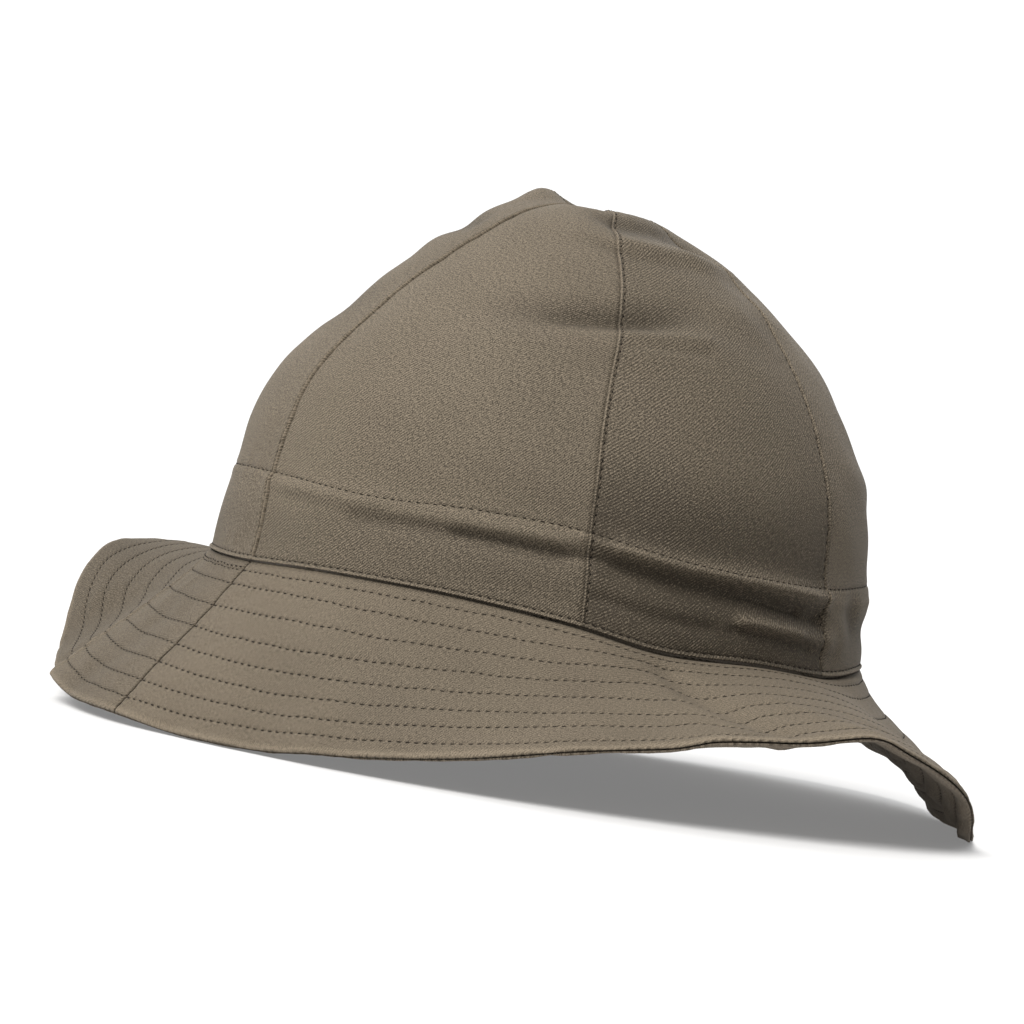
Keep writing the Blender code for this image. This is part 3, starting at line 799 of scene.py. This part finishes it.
def panel_layout(index):
    """A panel's grid, from one seam to the next and from the rim up, and its distances from the sewing."""
    left_over = PANELS[index][1]
    right_over = not PANELS[(index + 1) % 6][1]
    up = crown_rows()
    length = crown_cloth_length()
    seams = [read_column(CROWN_SEAMS, 1 + i, up / length)[:, None] for i in range(6)]
    seams.append(seams[0] + 360)
    left, right = seams[index], seams[index + 1]
    probe = left + (right - left) * np.linspace(0, 1, 9)
    along = np.repeat((up / length)[:, None], 9, axis=1)
    width = arc_lengths(crown_form(probe, along), 1)[:, -1:]
    full = np.clip(width / NARROW_PANEL, 0, 1)
    near = (PANEL_EDGE[None] - LAP * left_over) * full
    far = width - (PANEL_EDGE[None, ::-1] - LAP * right_over) * full
    shares = np.linspace(0, 1, PANEL_MIDDLE + 2)[1:-1]
    middle = near[:, -1:] + (far[:, :1] - near[:, -1:]) * shares
    across = np.concatenate([near, middle, far], axis=1)
    share = across / width
    azimuth = left + (right - left) * share
    band_up = read_column(BAND_WANDER, 1, azimuth, 360) * MM
    climb = up[:, None] + (band_up - BAND_LINE) * hump(up - BAND_LINE, BAND_REACH)[:, None]
    climb = np.minimum(climb, up[-1])
    from_left = across + LAP * left_over * full
    from_right = width - across + LAP * right_over * full
    away = np.full_like(across, 1.0)
    seam_place = np.full_like(across, index * 60.5)
    return SimpleNamespace(
        index=index, left_over=left_over, right_over=right_over, up=up, length=length, width=width,
        full=full, across=across, inside=np.clip(share, 0, 1), azimuth=azimuth, climb=climb,
        along=climb / length,
        from_band=climb - band_up,
        over_lip=np.clip((climb - 1.0 * MM) / (1.3 * MM), 0, 1),
        fold=np.minimum(from_left if left_over else away, from_right if right_over else away),
        tuck=np.minimum(away if left_over else from_left, away if right_over else from_right),
        seam_place=seam_place,
        bead=cloth_noise(seam_place, climb / (1.35 * MM), 6, 8),
    )


def panel_heights(panel):
    """Heights of a panel's outer and inner faces over the crown's folded form."""
    azimuth, climb, fold, tuck = panel.azimuth, panel.climb, panel.fold, panel.tuck
    sunk = 1 - 4 * panel.inside * (1 - panel.inside)
    form = -SEAM_SINK * sunk * np.clip(panel.along / HEM_FADE, 0, 1) * panel.full
    fade = np.clip(climb / (14 * MM), 0.15, 1) * np.clip(panel.width / (40 * MM), 0, 1)
    form = form + uneven(0.55, 26, 16, 1, azimuth, climb) * fade
    form = form + uneven(0.22, 11, 46, 2, azimuth + 90 * panel.along, climb) * fade

    welt = SEAM_RISE * (1 - smooth_step(fold / SEAM_WIDTH)) + ridge(fold, 0.34, 0.28, 0.42)
    welt = welt + ridge(fold - SEAM_STITCH, -0.34 - 0.24 * panel.bead, 0.36)
    round_over = -0.70 * MM * np.clip(1 - fold / (0.40 * MM), 0, 1) ** 2
    ripple = uneven(0.20, 3.6, 6, 3, panel.seam_place, climb) * panel.full
    ripple = ripple * (np.exp(-fold / (5 * MM)) + 0.7 * np.exp(-tuck / (4 * MM)))
    seam = (welt + round_over + ridge(tuck, -0.42, 0.9)) * np.maximum(panel.over_lip, 0.35) * panel.full
    seam = seam + ripple * panel.over_lip

    band = ridge(panel.from_band, -0.34, 0.5) + ridge(panel.from_band, 0.24, 1.5, -2.0)
    band = band + uneven(0.22, 9, 150, 4, azimuth, climb) * np.exp(-np.abs(panel.from_band) / (4.5 * MM))
    lip = np.interp(climb, np.array(LIP_UP) * MM, np.array(LIP_OUT) * MM)
    lip = lip * (1 + 0.12 * cloth_noise(azimuth, climb * 0, 70, 6)) + ridge(climb - LIP_STITCH, -0.20, 0.4)
    lip = lip + uneven(0.20, 7, 170, 5, azimuth, climb) * hump(climb - 5 * MM, 4 * MM)

    turned_in = sum(smooth_step((ALLOWANCE_WIDTH - distance) / (0.7 * MM)) for distance in (fold, tuck))
    allowance = ALLOWANCE * np.clip(turned_in, 0, 1) * panel.full * panel.over_lip
    inner_band = INNER_BAND * smooth_step((BAND_LINE + 2 * MM - climb) / (0.6 * MM))
    inner = form - CROWN_CLOTH - allowance - inner_band
    inner = np.where(climb < 0.3 * MM, -CROWN_CLOTH * 0.8, inner)
    return form + seam + band + lip, inner


def panel_tones(panel):
    """Masks of a panel's cloth: dark stitching in its seams, painted shade in its valleys, over the panel
    and on its low part, and lighter edges, partly worn and partly a painted highlight.
    """
    shade, low_shade, low_reach = PANELS[panel.index][2:5]
    climb, fold = panel.climb, panel.fold
    half = read_column(CROWN_SECTIONS, 4, panel.along) * RIM_HALF_WIDTH
    crease = crown_relief(panel.azimuth, panel.along, half, panel.length)
    low = smooth_step((low_reach * MM - climb) / (0.5 * low_reach * MM))
    # Raised folds low on the crown are lighter: painted highlight, taken off the dark mask below.
    lit = np.clip(crease / (1.5 * MM), 0, 1.2) * smooth_step((34 * MM - climb) / (8 * MM))
    # Darker along the seam, band and lip stitching: partly the stitching's own dark, partly painted shade in
    # its pits and grooves.
    stitches = line_mask(fold - SEAM_STITCH, 0.80 + 0.90 * panel.bead, 0.46)
    # The tucked edge beside a seam has a dark line: painted shadow of the neighbour's folded edge over it.
    stitching_and_painted_shade = stitches * panel.over_lip * panel.full + line_mask(panel.tuck, 2.2, 0.55)
    stitching_and_painted_shade = stitching_and_painted_shade + line_mask(panel.from_band, 0.75, 0.32) + line_mask(climb - LIP_STITCH, 0.6, 0.28)
    # Painted shade: darker in the valleys of the folds, over the whole panel and on its low part.
    stitching_and_painted_shade = stitching_and_painted_shade + 1.1 * np.clip(-crease / (1.2 * MM), 0, 1.5) + shade + low_shade * low
    # The crown's lowest edge is darker too: painted shadow where it meets the brim.
    stitching_and_painted_shade = np.clip(stitching_and_painted_shade - 1.3 * lit + line_mask(climb, 0.5, 0.2), 0, 2.6)
    # Lighter along the folded seam edges and the lip: partly wear, partly painted highlight.
    wear_and_highlight = line_mask(fold - 0.38 * MM, 0.95, 0.30) * panel.over_lip
    wear_and_highlight = wear_and_highlight + line_mask(climb - 0.40 * MM, 0.45, 0.30)
    nothing = np.zeros_like(stitching_and_painted_shade)
    return {"stitching_and_painted_shade": (stitching_and_painted_shade, nothing + 0.15), "wear_and_highlight": (np.clip(wear_and_highlight, 0, 1), nothing)}


def build_panel(index, material):
    """One crown panel: each side edge is either folded and sewn over its neighbour, or tucked under it."""
    panel = panel_layout(index)
    outer_height, inner_height = panel_heights(panel)
    outer = place(crown_point(panel.azimuth, panel.along, outer_height))
    inner = place(crown_point(panel.azimuth, panel.along, inner_height))
    normal = grid_normals(outer)
    centre = (panel.across - panel.width / 2) / MM
    # The cloth is cut flat, so its level lines sag towards the seams
    level = panel.climb / MM - 0.0028 * centre**2 - PANELS[index][5] * centre * panel.climb / MM
    maps = {"cloth": np.stack([centre, level], -1) + np.array([index * 137.0, index * 61.0])}
    piece = closed_sheet(f"panel_{PANELS[index][0]}", outer, inner, maps, panel_tones(panel), material)

    seam_column = int(np.argmin(np.abs(PANEL_EDGE - SEAM_STITCH)))
    first = int(np.searchsorted(panel.up, 2.6 * MM))
    last = int(np.searchsorted(-panel.width[:, 0], -9 * MM))
    level_runs = []
    for line in (BAND_LINE, LIP_STITCH):
        row = int(np.argmin(np.abs(panel.up - line)))
        level_runs.append((outer[row, 2:-2], normal[row, 2:-2]))
    seam_runs = []
    for column, over in ((seam_column, panel.left_over), (-1 - seam_column, panel.right_over)):
        if over:
            seam_runs.append((outer[first:last, column], normal[first:last, column]))
    return piece, level_runs, seam_runs


def hem_reach(azimuth):
    """Distance out to the hem."""
    return BRIM_WIDTH - read_column(HEM_TRIM, 1, azimuth, 360) * MM


def brim_lines(azimuth):
    """Distances out along the brim's cloth of its grid lines at each azimuth, and which lines are stitched.

    The lines follow the rows of stitches: close together at each row and at the hem.
    """
    zero = np.zeros_like(azimuth)
    rows = [read_column(BRIM_ROWS, 1 + k, azimuth, 360) * MM for k in range(8)]
    rows = [row + 0.22 * MM * cloth_noise(azimuth, zero + 7 * k, 120, 31) for k, row in enumerate(rows)]
    lines = [zero, zero + 0.8 * MM, zero + 1.8 * MM, rows[0] - 1.0 * MM]
    stitched = []
    for k, row in enumerate(rows):
        following = rows[k + 1] if k < 7 else hem_reach(azimuth)
        room = np.minimum(following - row, ROW_ROOM) / ROW_ROOM
        before = np.minimum(row - rows[k - 1], ROW_ROOM) / ROW_ROOM if k else room
        if k:
            lines += [row - offset * MM * before for offset in (1.7, 0.9)]
        lines += [row - 0.45 * MM * before, row - 0.2 * MM * before, row, row + 0.2 * MM * room]
        stitched.append(len(lines) - 2)
        lines += [row + offset * MM * room for offset in (0.45, 0.9, 1.7)]
        if 0 < k < 7:
            lines += [row + (following - row) * share for share in (0.36, 0.5, 0.64)]
    lines += [hem_reach(azimuth) + offset * MM for offset in HEM_LINES]
    return np.stack(lines), stitched, rows


def half_shares(start):
    """Shares of a half turn for half a brim's columns: close together at its seams and the front crest."""
    even = np.linspace(0, 1, HALF_COLUMNS + 1)
    edge = np.array([0.1, 0.2, 0.4]) / 180
    crest = ((CREST_AZIMUTH - start) % 360 + np.arange(-9, 6, 0.375)) / 180
    crest = crest[(crest > 0.02) & (crest < 0.98)]
    return np.unique(np.concatenate([even, edge, 1 - edge, crest]).round(6))


def brim_layout(half):
    """The grid of one half of the brim, from seam to seam and from the crown to the hem, and its sewing."""
    start = BRIM_SEAM_AZIMUTH + 180 * half
    shares = half_shares(start)
    distance, stitched, rows = brim_lines(start + 180 * shares)
    radius = (RIM_HALF_LENGTH + RIM_HALF_WIDTH) / 2 + distance
    inward = 1 - 2 * shares
    azimuth = start + 180 * shares + np.degrees(BRIM_SEAM_OPEN / radius) * inward
    hem = hem_reach(azimuth)
    cell = np.zeros_like(distance)
    between = np.clip(distance / rows[0], 0, 1)
    grooves = np.zeros_like(distance)
    for k, row in enumerate(rows):
        following = rows[k + 1] if k < 7 else hem
        inside = (distance >= row) & (distance < following)
        cell = np.where(inside, k + 1.0, cell)
        between = np.where(inside, (distance - row) / (following - row), between)
        grooves = grooves + hump(distance - row, 0.38 * MM)
    brim = SimpleNamespace(
        half=half, azimuth=azimuth, distance=distance, out=distance / BRIM_WIDTH, radius=radius,
        inward=inward, hem=hem, stitched=stitched, cell=cell, between=between, grooves=grooves,
        from_seam=np.minimum(azimuth - start, start + 180 - azimuth) * np.pi / 180 * radius,
        swell=np.sin(np.pi * np.clip(between, 0, 1)) * np.clip((hem - distance) / (3 * MM), 0, 1),
        skew=azimuth + 3.2 * between * (1 - 2 * np.mod(cell, 2)),
    )
    brim.relief, brim.quilting = brim_relief(brim)
    return brim


def brim_relief(brim):
    """Height of both layers' faces over the brim's form: quilted between the rows, puckered at the hem."""
    azimuth, distance, cell, swell = brim.azimuth, brim.distance, brim.cell, brim.swell
    close = 0.12 + 0.14 * hump(turn_from(azimuth, 0) + 72, 15)
    quilting = cloth_noise(brim.skew, cell, 96, 21) * 0.17 + cloth_noise(brim.skew, cell, 210, 22) * close
    quilting = quilting * np.where(cell < 0.5, 0.15, 1.0)
    relief = MM * (0.12 * swell + quilting * swell - 0.20 * brim.grooves)
    puckers = cloth_noise(azimuth + brim.out * 20, distance / (9 * MM), 190, 24)
    puckers = puckers * (0.7 + 0.6 * cloth_noise(azimuth, distance * 0, 37, 25))
    puckers = puckers + 0.8 * cloth_noise(azimuth, distance * 0, 64, 26)
    past_hem = distance - brim.hem
    relief = relief + MM * hump(past_hem + 2.2 * MM, 1.5 * MM) * (0.26 + 0.42 * puckers)
    flutter = cloth_noise(azimuth, distance * 0, 170, 41) + 0.6 * cloth_noise(azimuth, distance * 0, 310, 42)
    relief = relief + 0.22 * MM * flutter * smooth_step((past_hem + 3 * MM) / (2.6 * MM))
    return relief + ridge(brim.from_seam, -0.25, 0.45), quilting


def brim_tones(brim, on_top):
    """Masks of a brim layer's cloth: dark at its seam, rows and patches, all partly or wholly painted shade,
    and lighter at the hem, the crest and on raised puffs.
    """
    # Patches of painted shade on the upper layer.
    painted_shade = 0.0
    for azimuth, strength, half_width, rise in BRIM_PAINTED_SHADE:
        patch = strength * hump(turn_from(brim.azimuth, azimuth), half_width)
        painted_shade = painted_shade + (patch * smooth_step(brim.out / rise) if rise else patch)
    # Darker along the rows, partly painted shade in their grooves, and at the seam between the halves,
    # painted shadow in the slit.
    stitching_and_painted_shade = 0.55 * brim.grooves + line_mask(brim.from_seam, 1.6, 0.40)
    # On the upper layer, a painted shadow by the rim under the crown's lip.
    stitching_and_painted_shade = stitching_and_painted_shade + (line_mask(brim.distance, 1.0, 1.3) + painted_shade) * on_top
    # Lighter along the sharp front crest.
    crest = hump(turn_from(brim.azimuth, CREST_AZIMUTH), 0.36) * np.clip(brim.out / 0.1, 0, 1)
    # Lighter at the hem, and on raised puffs between the rows, partly wear and partly painted highlight.
    wear_and_highlight = 0.8 * hump(brim.distance - brim.hem + 0.7 * MM, 1.0 * MM) + 0.15 * brim.swell * brim.quilting
    nothing = np.zeros_like(stitching_and_painted_shade)
    return {
        "stitching_and_painted_shade": (np.clip(stitching_and_painted_shade, 0, 2.0), nothing + 0.6),
        "wear_and_highlight": (np.clip(wear_and_highlight + 0.4 * crest, 0, 1.2), nothing),
    }


def build_brim_layer(brim, layer, side, material):
    """One cloth layer of one half of the brim, and its runs of stitches."""
    sign, thickness = (1.0, BRIM_TOP_CLOTH) if layer == "top" else (-1.0, BRIM_UNDER_CLOTH)
    azimuth, distance = brim.azimuth, brim.distance
    rolling = uneven(0.45, 22, 26, 23, azimuth, distance) * np.clip(brim.out / 0.3, 0, 1)
    if layer == "top":
        sunk = 0.18 + 0.42 * hump(turn_from(azimuth, 0) - 18, 48)
        proud = brim.relief - sunk * MM * hump(distance, 1.8 * MM)
    else:
        bunched = 0.30 + 0.75 * hump(turn_from(azimuth, 0) - 84, 34)
        varied = 1 + 0.5 * cloth_noise(azimuth, brim.cell, 60, 27)
        varied = varied + 0.45 * cloth_noise(brim.skew, brim.cell, 170, 28)
        proud = brim.relief + MM * brim.swell * bunched * varied
    rounding = np.clip(1 - (brim.hem - distance) / (0.6 * MM), 0, 1) ** 2
    thinner = 0.35 * MM * smooth_step((distance - brim.hem + 7 * MM) / (6 * MM))
    seam_round = np.clip(1 - brim.from_seam / (0.25 * MM), 0, 1) ** 2
    height = SEAM_GAP / 2 + thickness - thinner + proud - 0.4 * MM * rounding - 0.30 * MM * seam_round
    hidden = SEAM_GAP / 2 + 0.16 * MM * rounding
    cut = azimuth + np.degrees(TOP_SEAM_OPEN / brim.radius) * brim.inward * (sign > 0)
    face = place(brim_face(cut, brim.out, rolling + sign * height, BRIM_CREASES))
    back = place(brim_face(cut, brim.out, rolling + sign * hidden, BRIM_CREASES))
    normal = grid_normals(face)
    normal = np.where((normal[..., 2:] * sign) < 0, -normal, normal)
    grain = np.radians(azimuth + 48 * brim.half)
    cloth = np.stack([brim.radius * np.sin(grain), -brim.radius * np.cos(grain)], -1) / MM
    maps = {
        "cloth": cloth + np.array([brim.half * 411.0, 0.0 if sign > 0 else 307.0]),
        "rows": np.stack([arc_lengths(face, 1) / MM, brim.cell + brim.between], -1),
    }
    # The grids of the lower layer are turned round, so that its face too points away from its back
    order = slice(None, None, 1 if sign > 0 else -1)
    maps = {key: value[:, order] for key, value in maps.items()}
    masks = {key: (a[:, order], b[:, order]) for key, (a, b) in brim_tones(brim, sign > 0).items()}
    piece = closed_sheet(f"brim_{layer}_{side}_cloth", face[:, order], back[:, order], maps, masks, material)
    runs = [(face[at], normal[at]) for at in brim.stitched]
    if layer == "top":
        doubled = azimuth[DOUBLED_LINE] > DOUBLED_FROM
        runs.append((face[DOUBLED_LINE, doubled], normal[DOUBLED_LINE, doubled]))
    return piece, [run for run in runs if len(run[0])]


def build_hat():
    cloth = {name: twill(name, *looks) for name, looks in CLOTHS.items()}
    threads = {name: thread_material(name, *colours) for name, colours in THREADS.items()}

    level_runs = []
    seam_runs = []
    for index, panel in enumerate(PANELS):
        piece, level, upward = build_panel(index, cloth["crown_twill"])
        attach(piece, "root")
        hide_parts(f"crown_panel_{panel[0]}")
        level_runs += level
        seam_runs += upward
    between = STITCH_START + STITCH_LENGTH + (STITCH_PITCH - STITCH_LENGTH - HOLE_LENGTH) / 2
    for sewn in (
        thread("crown_stitching", level_runs, threads["sewing_thread_and_pit_shade"]),
        thread("crown_seam_stitching", seam_runs, threads["seam_thread"], lift=0.12 * MM),
        # The needle holes are near-black pieces between the stitches: painted shadow.
        thread(
            "crown_needle_hole_shadows", seam_runs, threads["needle_hole_shadows"],
            start=between, length=HOLE_LENGTH, lift=0.02 * MM, thick=1.25,
        ),
    ):
        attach(sewn, "root")

    layers = (("top", "brim_cloth", "brim_twill"), ("under", "brim_under_cloth", "brim_under_twill"))
    brim_runs = {"top": [], "under": []}
    for half, side in enumerate(("near", "far")):
        brim = brim_layout(half)
        for layer, slot, twill_name in layers:
            piece, runs = build_brim_layer(brim, layer, side, cloth[twill_name])
            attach(piece, "root")
            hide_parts(f"brim_{layer}_{side}")
            brim_runs[layer] += runs
    for layer, slot, _ in layers:
        stitching = thread(f"brim_{layer}_stitching", brim_runs[layer], threads["sewing_thread_and_pit_shade"])
        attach(stitching, "root")


def build_studio():
    """A plain pale floor that glows a little, soft light from the upper left and a gentle surround."""
    scene = bpy.context.scene
    scene.view_settings.view_transform = "Standard"
    floor_mesh = bpy.data.meshes.new("floor")
    corners = [(x * FLOOR_HALF, y * FLOOR_HALF, 0) for x, y in ((-1, -1), (1, -1), (1, 1), (-1, 1))]
    floor_mesh.from_pydata(corners, [], [(0, 1, 2, 3)])
    floor = bpy.data.objects.new("floor", floor_mesh)
    floor.location.z = -FLOOR_DROP
    scene.collection.objects.link(floor)
    material, _, shader = new_material("floor")
    shader.inputs["Base Color"].default_value = (0.50, 0.50, 0.50, 1)
    shader.inputs["Roughness"].default_value = 0.9
    shader.inputs["Specular IOR Level"].default_value = 0.1
    # Painted light: the floor's glow lightens the shadow under the hat.
    shader.inputs["Emission Color"].default_value = (1.0, 1.0, 1.0, 1)
    shader.inputs["Emission Strength"].default_value = FLOOR_GLOW
    floor_mesh.materials.append(material)

    world = bpy.data.worlds.new("studio")
    scene.world = world
    world.use_nodes = True
    tree = Nodes(world.node_tree)
    ahead = tree.add("ShaderNodeTexCoord").outputs["Generated"]
    shade = tree.add("ShaderNodeVectorMath", {0: ahead, 1: DIM_SIDE}, operation="DOT_PRODUCT")
    lit = tree.fade(shade.outputs["Value"], (-0.30, 0.70), (1.0, SURROUND_DIM))
    apart = tree.add("ShaderNodeSeparateXYZ", {"Vector": ahead})
    behind = tree.fade(apart.outputs["Y"], (-0.05, 0.8), (0.0, SURROUND_BEHIND))
    above = tree.fade(apart.outputs["Z"], (0.0, 0.9), (SURROUND_LOW, SURROUND_TOP))
    strength = tree.scaled(lit, above, behind)
    background = world.node_tree.nodes["Background"]
    background.inputs["Color"].default_value = (1.0, 1.0, 1.0, 1)
    tree.feed(background.inputs["Strength"], strength)

    lamp = bpy.data.lights.new("key", "SUN")
    lamp.energy = KEY_POWER
    lamp.angle = np.radians(KEY_SPREAD)
    lamp.color = KEY_COLOUR
    key = bpy.data.objects.new("key", lamp)
    key.rotation_euler = Vector(KEY_FROM).to_track_quat("Z", "Y").to_euler()
    scene.collection.objects.link(key)


def build_camera():
    """The photo's view: about 3 degrees over the plane of the head opening, one metre away."""
    elevation = np.radians(CAMERA_ELEVATION)
    ahead = np.array([0.0, np.cos(elevation), -np.sin(elevation)])
    over = np.array([0.0, np.sin(elevation), np.cos(elevation)])
    level = np.array([1.0, 0.0, 0.0])
    roll_cosine, roll_sine = CAMERA_ROLL
    right = roll_cosine * level + roll_sine * over
    up = -roll_sine * level + roll_cosine * over
    aside, below = ((at - PHOTO_SIZE / 2) / FOCAL for at in OPENING_AT)
    aim = unit(ahead - right * aside + up * below)
    across = unit(np.cross(aim, up))
    turn = POSE[:3, :3]
    matrix = np.eye(4)
    matrix[:3, 0] = turn @ across
    matrix[:3, 1] = turn @ np.cross(across, aim)
    matrix[:3, 2] = turn @ -aim
    matrix[:3, 3] = turn @ (-ahead * CAMERA_DISTANCE) + POSE[:3, 3]
    lens = bpy.data.cameras.new("camera")
    lens.sensor_width = SENSOR_WIDTH
    lens.lens = SENSOR_WIDTH * FOCAL / PHOTO_SIZE
    lens.clip_start = 0.01
    lens.clip_end = 100.0
    camera = bpy.data.objects.new("camera", lens)
    camera.matrix_world = Matrix(matrix.tolist())
    bpy.context.scene.collection.objects.link(camera)
    bpy.context.scene.camera = camera


build_camera()
build_studio()
build_hat()
